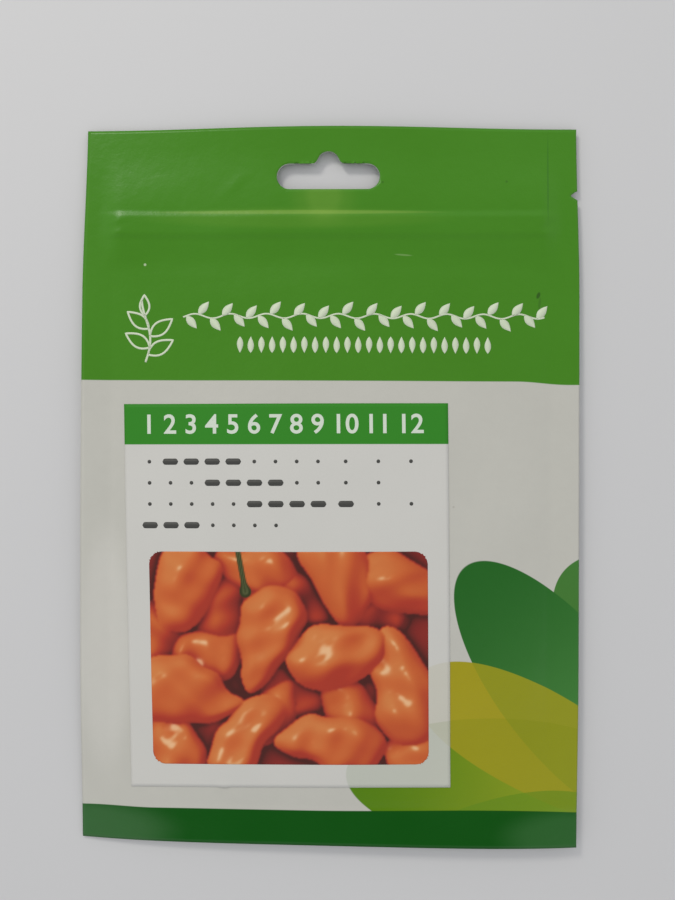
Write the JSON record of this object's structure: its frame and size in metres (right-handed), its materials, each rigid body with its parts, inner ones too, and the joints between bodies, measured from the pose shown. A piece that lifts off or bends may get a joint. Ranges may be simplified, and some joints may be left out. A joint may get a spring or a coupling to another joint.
{
  "type": "resealable seed packet",
  "caption": "Flat foil-film pouch with a hanging slot and tear notch in its header, a press-to-close zip, a paper label on its printed front, and seeds inside.",
  "frame": {"origin": "on the surface that the packet lies on, below the middle of its outline", "axes": "+X to the right across the printed front, +Y up the front to the edge with the hanging slot, +Z out of the front, away from the surface"},
  "size_m": [0.12, 0.1732, 0.0042],
  "materials": {
    "front_film": "satin printed film",
    "back_film": "satin film",
    "zip": "milky, translucent",
    "label": "uncoated self-adhesive paper",
    "seeds": "dry, matt"
  },
  "bodies": {
    "root": {"front_film": "front_film", "back_film": "back_film", "zip_groove_strip": "zip", "zip_rib_strip": "zip", "label": "label", "seeds": "seeds"}
  },
  "joints": []
}
